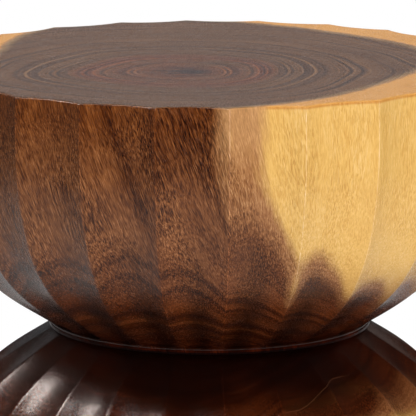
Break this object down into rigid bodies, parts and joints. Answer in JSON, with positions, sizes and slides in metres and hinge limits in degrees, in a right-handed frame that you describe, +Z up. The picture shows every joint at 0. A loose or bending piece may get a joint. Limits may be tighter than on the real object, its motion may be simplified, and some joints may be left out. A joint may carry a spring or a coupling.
{
  "type": "drum side table",
  "caption": "Hourglass drum side table of two carved hardwood bowls set waist to waist, with hollow flutes all round and a flat end-grain top.",
  "frame": {"origin": "on the floor, on the axis that the flutes run round", "axes": "+Z up along the table's axis; +X and +Y each pass through an arris between two flutes"},
  "size_m": [0.5022, 0.5022, 0.46],
  "materials": {
    "bowl_wood": "clear gloss lacquer over two-tone heartwood and sapwood",
    "disc_wood": "clear gloss lacquer over dark heartwood",
    "peg_wood": "bare turned dowel",
    "plated_steel": "zinc plated",
    "insert_brass": "bare brass",
    "glide_nylon": "brown moulded nylon"
  },
  "bodies": {
    "root": {"upper_bowl": "bowl_wood", "lower_bowl": "bowl_wood", "waist_disc": "disc_wood", "waist_peg_1": "peg_wood", "waist_peg_2": "peg_wood", "waist_peg_3": "peg_wood", "draw_bolt": "plated_steel", "bolt_washer": "plated_steel", "threaded_insert": "insert_brass", "socket_plug": "disc_wood", "floor_glide_1": "glide_nylon", "floor_glide_2": "glide_nylon", "floor_glide_3": "glide_nylon", "floor_glide_4": "glide_nylon", "glide_screws": "plated_steel"}
  },
  "joints": []
}
